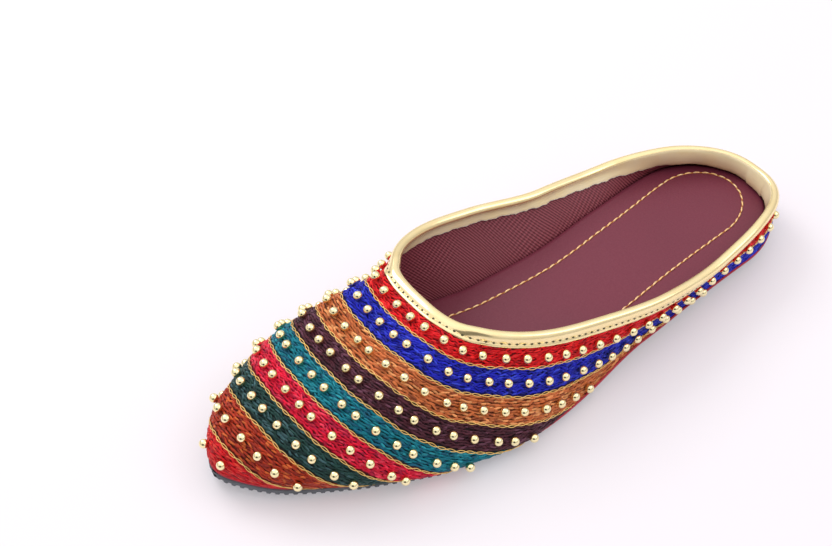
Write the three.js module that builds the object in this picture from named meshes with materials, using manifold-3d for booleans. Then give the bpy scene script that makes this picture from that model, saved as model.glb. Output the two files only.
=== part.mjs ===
// Mojari, a flat embroidered slipper with a pointed toe. Left shoe, millimetres.
// The toe points to -Y, the heel to +Y, +X is the outer side of the foot and +Z is up.
// A leather upper is drawn over the last and stitched to a flat rubber sole with a low heel.
// It is beaded in bands that run parallel to the collar and bound with a folded foil strip.
import * as THREE from 'three';
import { mergeVertices } from 'three/addons/utils/BufferGeometryUtils.js';
import Module from 'manifold-3d';

const wasm = await Module();
wasm.setup();

// Main sizes of the last
const bedLength = 247;
const ballWidth = 73;
const instepHeight = 43;
const collarLength = 161;
const collarWidth = 76;
const collarSetback = 2.4;
const heelLift = 2;
const heelWedge = 5;
const toeSpring = 4.5;

// Thicknesses and the gaps between pieces
const wall = 1.6;
const insoleThickness = 3.2;
const soleThickness = 2.8;
const foil = 0.5;
const clearance = 0.3;
const bindingClearance = 0.5;
const insoleClearance = 0.6;

// Width of the wall's thinned foot, as a share of its thickness
const footShare = 1.45;

// Trim sizes
const outerFlange = 3.8;
const innerFlange = 6;
const bandWidth = 10.2;
const beadDiameter = 3.5;
const beadPitch = 7.6;
const beadDrift = 1.3;
const beadClearance = 0.6;
const threadDiameter = 0.8;

// Sole edge and heel
const ribPitch = 3.2;
const ribDepth = 0.6;
const heelBlockLength = 58;
const heelInset = 3.5;

// Places along the foot, as shares of the bed length from the back of the heel
const archStartShare = 0.25;
const archEndShare = 0.65;
const springStartShare = 0.72;

// Round ends of the bed, as shares of its length
const heelRoundShare = 0.12;
const toeRoundShare = 0.06;

// Footbed: centre and half width as shares of the ball width
const bedTable = [
  { at: 0.0, centre: 0.0, half: 0.36 },
  { at: 0.12, centre: 0.015, half: 0.365 },
  { at: 0.25, centre: 0.055, half: 0.356 },
  { at: 0.36, centre: 0.086, half: 0.358 },
  { at: 0.5, centre: 0.1, half: 0.422 },
  { at: 0.62, centre: 0.056, half: 0.49 },
  { at: 0.72, centre: -0.047, half: 0.504 },
  { at: 0.82, centre: -0.102, half: 0.417 },
  { at: 0.9, centre: -0.13, half: 0.302 },
  { at: 0.96, centre: -0.165, half: 0.21 },
  { at: 1.0, centre: -0.18, half: 0.135 },
];

// Collar: its centre and half width as shares of its own width, its height as a share
// of the instep height, from the back of the heel to the front of the throat
const collarTable = [
  { at: 0.0, centre: 0.09, half: 0.466, height: 0.49 },
  { at: 0.15, centre: 0.055, half: 0.472, height: 0.55 },
  { at: 0.3, centre: 0.029, half: 0.48, height: 0.535 },
  { at: 0.5, centre: 0.038, half: 0.48, height: 0.635 },
  { at: 0.7, centre: -0.027, half: 0.52, height: 0.745 },
  { at: 0.85, centre: -0.062, half: 0.571, height: 0.862 },
  { at: 1.0, centre: -0.088, half: 0.605, height: 1.0 },
];
const heelFullness = 0.76;
const throatFullness = 0.7;

// Side sections: how far the leather leans out and rises from the sole, and how far it
// runs out and drops from the collar. Widths are shares of the ball width, heights of
// the instep height, places are shares of the bed length.
const sectionTable = [
  { at: 0.0, out: 0.04, rise: 0.14, run: -0.06, drop: 0.165 },
  { at: 0.25, out: -0.035, rise: 0.23, run: 0.005, drop: 0.13 },
  { at: 0.5, out: -0.02, rise: 0.13, run: 0.048, drop: 0.145 },
  { at: 0.7, out: 0.235, rise: 0.155, run: 0.06, drop: 0.28 },
  { at: 0.85, out: 0.35, rise: 0.33, run: 0.377, drop: 0.08 },
  { at: 1.0, out: 0.09, rise: 0.45, run: 0.68, drop: 0.28 },
];

// Sole edge: how far it stands out from the foot of the upper
const edgeTable = [
  { at: 0.0, stand: -1.2 },
  { at: 0.45, stand: -1.6 },
  { at: 0.62, stand: -0.8 },
  { at: 0.75, stand: 0.8 },
  { at: 1.0, stand: 1.2 },
];

// Bands of embroidery from the collar to the toe: their widths, and how much leather is
// left between the last bead and the sole, as shares of the plain band's width
const bandTable = [
  { width: 0.75, margin: 0.3 },
  { width: 1.0, margin: 0.25 },
  { width: 1.0, margin: 0.2 },
  { width: 1.0, margin: 0.15 },
  { width: 1.0, margin: 0.35 },
  { width: 1.0, margin: 0.65 },
  { width: 1.0, margin: 0.85 },
  { width: 1.3, margin: 0.7 },
  { width: 1.0, margin: 0.5 },
];

// Waves that set the beads' uneven spread: radians for each bead and for each row
const driftWaves = [
  { bead: 2.4, row: 1.7 },
  { bead: 3.9, row: -1.0 },
  { bead: 5.3, row: 0.0 },
];

// Mesh fineness
const loopSamples = 720;
const collarSamples = 360;
const stations = 80;
const outerSteps = 10;
const innerSteps = 8;
const bindingSpacing = 3.2;
const insoleSteps = 60;
const rowSteps = 240;
const heelRows = 14;
const searchRounds = 24;
const leanStep = 0.002;
const shortestRow = 8;
const mergeDistance = 1e-4;
const rollAngles = [45, 0, -45];

// Smooth curve through one column of a table, with no overshoot between its rows
function column(table, name) {
  const at = table.map((row) => row.at);
  const value = table.map((row) => row[name]);
  const last = at.length - 1;
  const slope = at.slice(1).map((x, i) => (value[i + 1] - value[i]) / (x - at[i]));
  const tangent = at.map((_, i) => {
    if (i === 0) return slope[0];
    if (i === last) return slope[last - 1];
    const before = slope[i - 1];
    const after = slope[i];
    return before * after > 0 ? (2 * before * after) / (before + after) : 0;
  });
  return (x) => {
    const inside = Math.min(Math.max(x, at[0]), at[last]);
    let i = 0;
    while (i < last - 1 && inside > at[i + 1]) i += 1;
    const span = at[i + 1] - at[i];
    const t = (inside - at[i]) / span;
    const rest = 1 - t;
    const near = value[i] * (1 + 2 * t) + tangent[i] * span * t;
    const far = value[i + 1] * (1 + 2 * rest) - tangent[i + 1] * span * rest;
    return near * rest * rest + far * t * t;
  };
}

const bedCentre = column(bedTable, 'centre');
const bedHalf = column(bedTable, 'half');
const collarCentre = column(collarTable, 'centre');
const collarHalf = column(collarTable, 'half');
const collarHeight = column(collarTable, 'height');
const sectionOut = column(sectionTable, 'out');
const sectionRise = column(sectionTable, 'rise');
const sectionRun = column(sectionTable, 'run');
const sectionDrop = column(sectionTable, 'drop');
const edgeStand = column(edgeTable, 'stand');

const smoothStep = (t) => {
  const x = Math.min(Math.max(t, 0), 1);
  return x * x * (3 - 2 * x);
};
const turn = 2 * Math.PI;

// How much of the heel's height is left at a place: all at the heel, none at the ball
const heelPart = (share) => (
  1 - smoothStep((share - archStartShare) / (archEndShare - archStartShare))
);

// Height of the sole's underside above the floor, without the heel block
function underside(share) {
  const spring = Math.max(share - springStartShare, 0) / (1 - springStartShare);
  return heelLift * heelPart(share) + toeSpring * spring * spring;
}
const soleTop = (share) => underside(share) + soleThickness;
const seatHeight = (share) => soleTop(share) + clearance;
const insoleTop = (share) => seatHeight(share) + insoleThickness + heelWedge * heelPart(share);

// Footbed outline: phase 0 is the heel, a quarter turn the outer side, half a turn the toe
function bedPoint(phase) {
  const share = (1 - Math.cos(turn * phase)) / 2;
  const side = Math.sin(turn * phase) < 0 ? -1 : 1;
  const heelEnd = Math.min(share / heelRoundShare, 1);
  const toeEnd = Math.min((1 - share) / toeRoundShare, 1);
  const round = Math.sqrt(1 - (1 - heelEnd) ** 2) * Math.sqrt(1 - (1 - toeEnd) ** 2);
  const x = ballWidth * (bedCentre(share) + side * bedHalf(share) * round);
  return new THREE.Vector2(x, -bedLength * share);
}

// Outline moved outward from the footbed by a distance in millimetres
function outline(phase, distance) {
  const step = 1 / loopSamples;
  const before = bedPoint(phase - step);
  const after = bedPoint(phase + step);
  const along = after.sub(before).normalize();
  const outward = new THREE.Vector2(-along.y, along.x);
  return bedPoint(phase).add(outward.multiplyScalar(distance));
}

const footInset = clearance + wall * footShare;
const footLine = (phase) => outline(phase, footInset);
const shareOf = (point) => Math.min(Math.max(-point.y / bedLength, 0), 1);

// Collar edge: the same phases, from the back of the heel round the outer side
function collarPoint(phase) {
  const share = (1 - Math.cos(turn * phase)) / 2;
  const sine = Math.sin(turn * phase);
  const fullness = heelFullness + (throatFullness - heelFullness) * share;
  const swing = Math.sign(sine) * Math.abs(sine) ** fullness;
  const x = collarWidth * (collarCentre(share) + swing * collarHalf(share));
  const y = -collarSetback - collarLength * share;
  return new THREE.Vector3(x, y, instepHeight * collarHeight(share));
}

const collarLoop = Array.from({ length: collarSamples }, (_, i) => collarPoint(i / collarSamples));

// Phase of the collar point that lies nearest to a point, seen from above
function nearestCollarPhase(point) {
  let best = 0;
  let least = Infinity;
  collarLoop.forEach((edge, i) => {
    const gap = (edge.x - point.x) ** 2 + (edge.y - point.y) ** 2;
    if (gap < least) {
      least = gap;
      best = i;
    }
  });
  let low = (best - 1) / collarSamples;
  let high = (best + 1) / collarSamples;
  for (let round = 0; round < searchRounds; round += 1) {
    const third = (high - low) / 3;
    const one = collarPoint(low + third);
    const two = collarPoint(high - third);
    const first = (one.x - point.x) ** 2 + (one.y - point.y) ** 2;
    const second = (two.x - point.x) ** 2 + (two.y - point.y) ** 2;
    if (first < second) high -= third;
    else low += third;
  }
  return (low + high) / 2;
}

// One section of the upper, from the foot line up to the collar, square to the collar
class Section {
  constructor(phase) {
    const foot = footLine(phase);
    const share = shareOf(foot);
    const collarPhase = nearestCollarPhase(foot);
    const step = 1 / collarSamples;
    const along = collarPoint(collarPhase + step).sub(collarPoint(collarPhase - step));
    this.collar = collarPoint(collarPhase);
    this.outward = new THREE.Vector2(-along.y, along.x).normalize();
    const reach = (foot.x - this.collar.x) * this.outward.x
      + (foot.y - this.collar.y) * this.outward.y;
    const base = seatHeight(share);
    const top = this.collar.z;
    this.ends = [
      new THREE.Vector2(reach, base),
      new THREE.Vector2(
        reach + ballWidth * sectionOut(share),
        base + instepHeight * sectionRise(share),
      ),
      new THREE.Vector2(ballWidth * sectionRun(share), top - instepHeight * sectionDrop(share)),
      new THREE.Vector2(0, top),
    ];
    this.curve = new THREE.CubicBezierCurve(...this.ends);
    this.length = this.curve.getLength();
    this.footInner = outline(phase, clearance);
    this.base = base;
  }

  // Curve parameter at a distance along the leather from the collar
  parameter(distance) {
    return this.curve.getUtoTmapping(1 - Math.min(distance / this.length, 1));
  }

  // Point of the outer face, with 0 at the sole and 1 at the collar
  outer(t) {
    const point = this.curve.getPoint(t);
    return new THREE.Vector3(
      this.collar.x + this.outward.x * point.x,
      this.collar.y + this.outward.y * point.x,
      point.y,
    );
  }

  // Direction of the section from the sole towards the collar
  climb(t) {
    const tangent = this.curve.getTangent(t);
    return new THREE.Vector3(
      this.outward.x * tangent.x,
      this.outward.y * tangent.x,
      tangent.y,
    );
  }

  // Inner foot of the wall: the thinned edge is cut level on the sole
  foot() {
    return new THREE.Vector3(this.footInner.x, this.footInner.y, this.base);
  }
}

// Outer face over a closed loop of sections
class Face {
  constructor(phases) {
    this.sections = phases.map((phase) => new Section(phase));
  }

  // Outer normal of the face where a section's parameter is t
  normal(i, t) {
    const count = this.sections.length;
    const before = this.sections[(i + count - 1) % count].outer(t);
    const after = this.sections[(i + 1) % count].outer(t);
    return this.sections[i].climb(t).cross(after.sub(before)).normalize();
  }

  // Point at a depth from the outer face, in millimetres, positive outward
  point(i, t, depth = 0) {
    return this.sections[i].outer(t).addScaledVector(this.normal(i, t), depth);
  }

  // The same at a distance along the leather from the collar
  at(i, distance, depth = 0) {
    return this.point(i, this.sections[i].parameter(distance), depth);
  }
}

// Phases spread evenly by how far the foot line and the collar move together
function spreadPhases(count) {
  const travelled = [0];
  let foot = footLine(0);
  let edge = collarPoint(nearestCollarPhase(foot));
  for (let i = 1; i <= loopSamples; i += 1) {
    const nextFoot = footLine(i / loopSamples);
    const nextEdge = collarPoint(nearestCollarPhase(nextFoot));
    const move = nextFoot.distanceTo(foot) + nextEdge.distanceTo(edge);
    travelled.push(travelled[i - 1] + move);
    foot = nextFoot;
    edge = nextEdge;
  }
  const whole = travelled[loopSamples];
  return Array.from({ length: count }, (_, i) => {
    const wanted = (whole * i) / count;
    const after = travelled.findIndex((distance) => distance > wanted);
    const span = travelled[after] - travelled[after - 1];
    return (after - 1 + (wanted - travelled[after - 1]) / span) / loopSamples;
  });
}

// Closed skin over rings of points: each ring is a closed loop, the rings close too
function ringSolid(rings) {
  const size = rings[0].length;
  const positions = rings.flat().flatMap((point) => [point.x, point.y, point.z]);
  const index = [];
  rings.forEach((_, i) => {
    const next = (i + 1) % rings.length;
    for (let j = 0; j < size; j += 1) {
      const side = (j + 1) % size;
      const [a, b] = [i * size + j, i * size + side];
      const [c, d] = [next * size + j, next * size + side];
      index.push(a, b, c, b, d, c);
    }
  });
  return solidFrom(positions, index);
}

// Geometry with its faces pointing out
function solidFrom(positions, index) {
  const geometry = new THREE.BufferGeometry();
  geometry.setAttribute('position', new THREE.Float32BufferAttribute(positions, 3));
  geometry.setIndex(index);
  if (signedVolume(geometry) < 0) geometry.index.array.reverse();
  return geometry;
}

function signedVolume(geometry) {
  const position = geometry.attributes.position;
  const index = geometry.index;
  const corner = [0, 1, 2].map(() => new THREE.Vector3());
  let volume = 0;
  for (let i = 0; i < index.count; i += 3) {
    corner.forEach((point, k) => point.fromBufferAttribute(position, index.getX(i + k)));
    volume += corner[0].dot(corner[1].clone().cross(corner[2])) / 6;
  }
  return volume;
}

// Closed slab through stations, each with an outer top and bottom, an inner top and bottom
function slab(stations) {
  const positions = stations.flat().flatMap((point) => [point.x, point.y, point.z]);
  const index = [];
  const quad = (a, b, c, d) => index.push(a, b, c, a, c, d);
  for (let i = 0; i < stations.length - 1; i += 1) {
    const [a, b] = [i * 4, (i + 1) * 4];
    quad(a, b, b + 2, a + 2);
    quad(a + 1, a + 3, b + 3, b + 1);
    quad(a, a + 1, b + 1, b);
    quad(a + 2, b + 2, b + 3, a + 3);
  }
  const end = (stations.length - 1) * 4;
  quad(0, 2, 3, 1);
  quad(end, end + 1, end + 3, end + 2);
  return solidFrom(positions, index);
}

// Plate with upright sides between two heights, given as matching outer and inner points
function plate(pairs, topOf, bottomOf) {
  return slab(pairs.map((pair) => pair.flatMap((point) => [
    new THREE.Vector3(point.x, point.y, topOf(point)),
    new THREE.Vector3(point.x, point.y, bottomOf(point)),
  ])));
}

const toManifold = (geometry) => {
  const bare = geometry.clone();
  bare.deleteAttribute('normal');
  bare.deleteAttribute('uv');
  const merged = mergeVertices(bare, mergeDistance);
  return new wasm.Manifold(new wasm.Mesh({
    numProp: 3,
    vertProperties: Float32Array.from(merged.attributes.position.array),
    triVerts: Uint32Array.from(merged.index.array),
  }));
};

const fromManifold = (solid) => {
  const mesh = solid.getMesh();
  const geometry = new THREE.BufferGeometry();
  geometry.setAttribute('position', new THREE.Float32BufferAttribute(mesh.vertProperties, 3));
  geometry.setIndex(Array.from(mesh.triVerts));
  return geometry;
};

// Inner face of the wall at one section, from the collar down to its thinned foot
function innerWall(face, i) {
  const { base } = face.sections[i];
  const points = Array.from({ length: innerSteps }, (_, k) => (
    face.point(i, 1 - k / innerSteps, -wall)
  ));
  points.forEach((point) => point.setZ(Math.max(point.z, base)));
  return [...points, face.sections[i].foot()];
}

// Upper: one hollow wall, open at the collar and under the foot
function upperGeometry(face) {
  const rings = face.sections.map((section, i) => {
    const outer = Array.from({ length: outerSteps + 1 }, (_, k) => (
      section.outer(k / outerSteps)
    ));
    return [...outer, ...innerWall(face, i)];
  });
  return ringSolid(rings);
}

// Foil strip folded over the collar: outer flange, rolled top and inner flange
function bindingGeometry(face) {
  const stationsUsed = [];
  let last = null;
  face.sections.forEach((section, i) => {
    if (last && section.collar.distanceTo(last) < bindingSpacing) return;
    last = section.collar;
    stationsUsed.push(i);
  });
  const near = bindingClearance;
  const skin = near + foil;
  const rings = stationsUsed.map((i) => {
    const normal = face.normal(i, 1);
    const climb = face.sections[i].climb(1);
    const middle = face.point(i, 1, -wall / 2);
    const roll = rollAngles.map((degrees) => {
      const angle = THREE.MathUtils.degToRad(degrees);
      const radius = wall / 2 + skin;
      return middle.clone()
        .addScaledVector(normal, radius * Math.sin(angle))
        .addScaledVector(climb, radius * Math.cos(angle));
    });
    return [
      face.at(i, outerFlange, skin),
      face.at(i, outerFlange / 2, skin),
      face.point(i, 1, skin),
      ...roll,
      face.point(i, 1, -wall - skin),
      face.at(i, innerFlange / 2, -wall - skin),
      face.at(i, innerFlange, -wall - skin),
      face.at(i, innerFlange, -wall - near),
      face.at(i, innerFlange / 2, -wall - near),
      face.point(i, 1, -wall - near).addScaledVector(climb, near),
      face.point(i, 1, near).addScaledVector(climb, near),
      face.at(i, outerFlange / 2, near),
      face.at(i, outerFlange, near),
    ];
  });
  return ringSolid(rings);
}

// How far the inner face of the wall leans out from the bed's edge at the insole's top
function wallLean(phase) {
  const edge = bedPoint(phase);
  const height = insoleTop(shareOf(edge));
  const down = innerWall(new Face([phase - leanStep, phase, phase + leanStep]), 1);
  const below = down.findIndex((point) => point.z < height);
  const inner = down[below - 1].clone();
  inner.lerp(down[below], (inner.z - height) / (inner.z - down[below].z));
  const outward = outline(phase, 1).sub(edge);
  return (inner.x - edge.x) * outward.x + (inner.y - edge.y) * outward.y;
}

// Insole: a padded sheet inside the foot of the upper, thicker towards the heel
function insoleGeometry() {
  const half = insoleSteps / 2;
  const corners = (phase) => {
    const low = outline(phase, -insoleClearance);
    const top = outline(phase, wallLean(phase) - insoleClearance);
    return [
      new THREE.Vector3(top.x, top.y, insoleTop(shareOf(top))),
      new THREE.Vector3(low.x, low.y, seatHeight(shareOf(low))),
    ];
  };
  return slab(Array.from({ length: half - 1 }, (_, i) => {
    const phase = (i + 1) / insoleSteps;
    return [...corners(phase), ...corners(-phase)];
  }));
}

// Points at equal steps along half the sole outline, outer or inner side of the foot
function soleSide(side) {
  const fine = Array.from({ length: loopSamples / 2 + 1 }, (_, i) => {
    const phase = (side * i) / loopSamples;
    const stand = edgeStand(shareOf(bedPoint(phase)));
    return outline(phase, footInset + stand);
  });
  return new THREE.SplineCurve(fine);
}

// Outsole: ribbed edge, arch, toe spring and a low heel block in one moulding
function outsoleGeometry() {
  const outer = soleSide(1);
  const inner = soleSide(-1);
  const ribs = Math.round(outer.getLength() / ribPitch);
  const steps = ribs * 2;
  const spaced = [outer, inner].map((curve) => curve.getSpacedPoints(steps));
  const pairs = [];
  for (let i = 1; i < steps; i += 1) {
    const notch = i % 2 ? 0 : ribDepth;
    pairs.push(spaced.map((side) => {
      const along = side[i + 1].clone().sub(side[i - 1]).normalize();
      const inward = new THREE.Vector2(along.y, -along.x);
      const sign = side === spaced[0] ? 1 : -1;
      return side[i].clone().addScaledVector(inward, notch * sign);
    }));
  }
  const sheet = plate(
    pairs,
    (point) => soleTop(shareOf(point)),
    (point) => underside(shareOf(point)),
  );
  return fromManifold(toManifold(sheet).add(toManifold(heelBlock())));
}

// Heel block under the back of the sole, set in from its edge
function heelBlock() {
  const pairs = Array.from({ length: heelRows }, (_, i) => {
    const share = (heelBlockLength / bedLength) * ((i + 0.5) / heelRows);
    const phase = Math.acos(1 - 2 * share) / turn;
    return [outline(phase, footInset - heelInset), outline(-phase, footInset - heelInset)];
  });
  return plate(pairs, () => heelLift + soleThickness / 2, () => 0);
}

// Uneven spread between -1 and 1 that is the same each time: the mean of three waves
const drift = (row, bead) => {
  const waves = driftWaves.map((wave) => Math.sin(wave.bead * bead + wave.row * row));
  return waves.reduce((sum, wave) => sum + wave, 0) / waves.length;
};

// Band of a row, with the last one repeated past the table's end
const band = (row) => bandTable[Math.min(row, bandTable.length - 1)];

// Distance of a band's middle from the collar
function bandMiddle(row) {
  let start = outerFlange;
  for (let k = 0; k < row; k += 1) start += bandWidth * band(k).width;
  return start + (bandWidth * band(row).width) / 2;
}

// Middle line of a band, as points with their normals: it is found in one run that goes
// from the toe back along both sides while the leather is long enough
function bandLine(face, row) {
  const distance = bandMiddle(row);
  const reaches = (section) => section.length > distance + bandWidth * band(row).margin;
  const toe = face.sections.length / 2;
  if (!reaches(face.sections[toe])) return [];
  let first = toe;
  let last = toe;
  while (first > 0 && reaches(face.sections[first - 1])) first -= 1;
  while (last < face.sections.length - 1 && reaches(face.sections[last + 1])) last += 1;
  return face.sections.slice(first, last + 1).map((section, k) => {
    const t = section.parameter(distance);
    return { point: section.outer(t), normal: face.normal(first + k, t) };
  });
}

// Row of beads on their thread, one body: a swelling of the thread at each bead
function beadRowGeometry(face, row) {
  const line = bandLine(face, row);
  const travelled = [0];
  line.slice(1).forEach(({ point }, i) => {
    travelled.push(travelled[i] + point.distanceTo(line[i].point));
  });
  const whole = travelled[travelled.length - 1];
  const count = Math.max(Math.floor(whole / beadPitch), 2);
  const sample = (distance) => {
    let i = 0;
    while (i < travelled.length - 2 && travelled[i + 1] < distance) i += 1;
    const t = (distance - travelled[i]) / (travelled[i + 1] - travelled[i]);
    return {
      point: line[i].point.clone().lerp(line[i + 1].point, t),
      normal: line[i].normal.clone().lerp(line[i + 1].normal, t).normalize(),
    };
  };
  const radius = beadDiameter / 2;
  const rings = [];
  const centres = [];
  for (let bead = 0; bead < count; bead += 1) {
    const place = ((bead + 0.5) * whole) / count + beadDrift * drift(row, bead);
    centres.push(sample(Math.min(Math.max(place, radius), whole - radius)));
  }
  centres.forEach(({ point, normal }, bead) => {
    const before = centres[Math.max(bead - 1, 0)].point;
    const after = centres[Math.min(bead + 1, count - 1)].point;
    const along = after.clone().sub(before).normalize();
    const across = along.clone().cross(normal).normalize();
    const centre = point.clone().addScaledVector(normal, radius + beadClearance);
    [-1, 0, 1].forEach((end) => {
      const size = end === 0 ? radius : threadDiameter / 2;
      const middle = centre.clone().addScaledVector(along, end * radius * 0.95);
      rings.push([0, 1, 2, 3].map((quarter) => {
        const angle = (quarter * Math.PI) / 2;
        return middle.clone()
          .addScaledVector(normal, size * Math.cos(angle))
          .addScaledVector(across, size * Math.sin(angle));
      }));
    });
  });
  return cappedTube(rings);
}

// Tube through rings with flat ends
function cappedTube(rings) {
  const size = rings[0].length;
  const positions = rings.flat().flatMap((point) => [point.x, point.y, point.z]);
  const index = [];
  for (let i = 0; i < rings.length - 1; i += 1) {
    for (let j = 0; j < size; j += 1) {
      const side = (j + 1) % size;
      const [a, b] = [i * size + j, i * size + side];
      const [c, d] = [a + size, b + size];
      index.push(a, c, b, b, c, d);
    }
  }
  const end = (rings.length - 1) * size;
  for (let j = 1; j < size - 1; j += 1) {
    index.push(0, j, j + 1, end, end + j + 1, end + j);
  }
  return solidFrom(positions, index);
}

// Finishes
const material = (color, roughness, metalness) => (
  new THREE.MeshStandardMaterial({ color, roughness, metalness })
);
const finish = {
  upper: material(0x8c1a22, 0.8, 0),
  binding: material(0xe8c57a, 0.35, 0.9),
  insole: material(0x80404c, 0.6, 0),
  outsole: material(0x3c4144, 0.85, 0),
  bead: material(0xe2bf6a, 0.25, 0.9),
};

// Whole shoe
function buildShoe() {
  const shoe = new THREE.Group();
  const add = (name, geometry, look) => {
    const mesh = new THREE.Mesh(geometry, look);
    mesh.name = name;
    shoe.add(mesh);
  };
  const face = new Face(spreadPhases(stations));
  const fineFace = new Face(Array.from({ length: rowSteps }, (_, i) => i / rowSteps));
  add('upper', upperGeometry(face), finish.upper);
  add('collar_binding', bindingGeometry(face), finish.binding);
  add('insole', insoleGeometry(), finish.insole);
  add('outsole', outsoleGeometry(), finish.outsole);
  for (let row = 0; bandLine(fineFace, row).length > shortestRow; row += 1) {
    add(`bead_row_${row + 1}`, beadRowGeometry(fineFace, row), finish.bead);
  }
  const box = new THREE.Box3().setFromObject(shoe);
  const middle = box.getCenter(new THREE.Vector3());
  shoe.position.set(-middle.x, -middle.y, -box.min.z);
  return shoe;
}

export default buildShoe();
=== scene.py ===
"""Mojari, a flat embroidered slipper with a pointed toe: the left shoe of a pair.

Lengths are worked out in millimetres and written to the meshes in metres. The shoe's own
axes match the frame: the toe points to -Y, the heel to +Y, +X is the outer side of the foot.
"""
import math

import bpy
import numpy as np
from mathutils import Matrix, Vector


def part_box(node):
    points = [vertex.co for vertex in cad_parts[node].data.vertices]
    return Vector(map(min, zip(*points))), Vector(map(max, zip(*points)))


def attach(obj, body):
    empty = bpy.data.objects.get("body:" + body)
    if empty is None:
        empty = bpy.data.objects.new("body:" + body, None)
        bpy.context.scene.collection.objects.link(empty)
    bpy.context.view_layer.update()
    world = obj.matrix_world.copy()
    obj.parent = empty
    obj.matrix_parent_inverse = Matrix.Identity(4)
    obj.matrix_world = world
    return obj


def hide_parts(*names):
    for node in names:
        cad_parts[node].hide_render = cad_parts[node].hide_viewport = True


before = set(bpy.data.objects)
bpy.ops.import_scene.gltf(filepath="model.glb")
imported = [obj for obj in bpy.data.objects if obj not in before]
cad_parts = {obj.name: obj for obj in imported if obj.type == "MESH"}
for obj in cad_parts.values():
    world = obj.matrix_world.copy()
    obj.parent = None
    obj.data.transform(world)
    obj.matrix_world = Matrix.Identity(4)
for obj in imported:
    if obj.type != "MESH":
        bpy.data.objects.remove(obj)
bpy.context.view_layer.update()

MM = 0.001
TURN = 2 * math.pi
UP = np.array([0.0, 0.0, 1.0])
rng = np.random.default_rng(7)

# Main sizes of the last, as in the construction model
BED_LENGTH = 247
BALL_WIDTH = 73
INSTEP_HEIGHT = 43
COLLAR_LENGTH = 161
COLLAR_WIDTH = 76
COLLAR_SETBACK = 2.4
HEEL_LIFT = 2
HEEL_WEDGE = 5
TOE_SPRING = 4.5
WALL = 1.6
INSOLE_THICKNESS = 3.2
SOLE_THICKNESS = 2.8
CLEARANCE = 0.3
INSOLE_CLEARANCE = 0.6

# Width of the wall's thinned foot, as a share of its thickness
FOOT_SHARE = 1.45
FOOT_INSET = CLEARANCE + WALL * FOOT_SHARE

# Trim sizes
OUTER_FLANGE = 3.8
INNER_FLANGE = 6
BAND_WIDTH = 10.2
BEAD_RADIUS = 1.75
BEAD_PITCH = 7.6
BEAD_DRIFT = 1.3
BEAD_LIFT = 0.2

# Band rows: width, and leather left between the last bead and the sole, as shares of
# the plain band's width
BAND_TABLE = [
    (0.75, 0.3), (1, 0.25), (1, 0.2), (1, 0.15), (1, 0.35), (1, 0.65), (1, 0.85),
    (1.3, 0.7), (1, 0.5),
]

# Sole edge and heel
RIB_PITCH = 3.2
RIB_DEPTH = 0.6
HEEL_BLOCK_LENGTH = 58
HEEL_INSET = 3.5

# Places along the foot, as shares of the bed length from the back of the heel
ARCH_START = 0.25
ARCH_END = 0.65
SPRING_START = 0.72
HEEL_ROUND = 0.12
TOE_ROUND = 0.06

# Footbed rows: place, centre and half width as shares of the ball width
BED_TABLE = [
    (0.0, 0.0, 0.36),
    (0.12, 0.015, 0.365),
    (0.25, 0.055, 0.356),
    (0.36, 0.086, 0.358),
    (0.5, 0.1, 0.422),
    (0.62, 0.056, 0.49),
    (0.72, -0.047, 0.504),
    (0.82, -0.102, 0.417),
    (0.9, -0.13, 0.302),
    (0.96, -0.165, 0.21),
    (1.0, -0.18, 0.135),
]

# Collar rows: place, centre and half width as shares of its width, share of instep height
COLLAR_TABLE = [
    (0.0, 0.09, 0.466, 0.49),
    (0.15, 0.055, 0.472, 0.55),
    (0.3, 0.029, 0.48, 0.535),
    (0.5, 0.038, 0.48, 0.635),
    (0.7, -0.027, 0.52, 0.745),
    (0.85, -0.062, 0.571, 0.862),
    (1.0, -0.088, 0.605, 1.0),
]
HEEL_FULLNESS = 0.76
THROAT_FULLNESS = 0.7

# Section rows: place, lean out and rise at the sole, run out and drop at the collar
SECTION_TABLE = [
    (0.0, 0.04, 0.14, -0.06, 0.165),
    (0.25, -0.035, 0.23, 0.005, 0.13),
    (0.5, -0.02, 0.13, 0.048, 0.145),
    (0.7, 0.235, 0.155, 0.06, 0.28),
    (0.85, 0.35, 0.33, 0.377, 0.08),
    (1.0, 0.09, 0.45, 0.68, 0.28),
]

# Sole edge rows: place, how far it stands out from the foot of the upper
EDGE_TABLE = [(0.0, -1.2), (0.45, -1.6), (0.62, -0.8), (0.75, 0.8), (1.0, 1.2)]

# Waves that set the beads' uneven spread: radians for each bead and for each row
DRIFT_WAVES = [(2.4, 1.7), (3.9, -1.0), (5.3, 0.0)]


def curves(table):
    """Smooth curve through each column of a table, over the places in its first one."""
    at, *values = np.array(table, float).T
    return [curve_through(at, value) for value in values]


def curve_through(at, value):
    """Smooth curve through values at given places, with no overshoot between them."""
    slope = np.diff(value) / np.diff(at)
    product = slope[:-1] * slope[1:]
    total = np.where(product > 0, slope[:-1] + slope[1:], 1)
    inside = np.where(product > 0, 2 * product / total, 0)
    tangent = np.concatenate([slope[:1], inside, slope[-1:]])

    def curve(x):
        x = np.clip(x, at[0], at[-1])
        i = np.clip(np.searchsorted(at, x, side="right") - 1, 0, len(at) - 2)
        span = at[i + 1] - at[i]
        t = (x - at[i]) / span
        rest = 1 - t
        near = value[i] * (1 + 2 * t) + tangent[i] * span * t
        far = value[i + 1] * (1 + 2 * rest) - tangent[i + 1] * span * rest
        return near * rest * rest + far * t * t

    return curve


bed_centre, bed_half = curves(BED_TABLE)
collar_centre, collar_half, collar_height = curves(COLLAR_TABLE)
section_out, section_rise, section_run, section_drop = curves(SECTION_TABLE)
(edge_stand,) = curves(EDGE_TABLE)


def smooth_step(t):
    """Rise from 0 to 1, level at both ends."""
    x = np.clip(t, 0, 1)
    return x * x * (3 - 2 * x)


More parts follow.
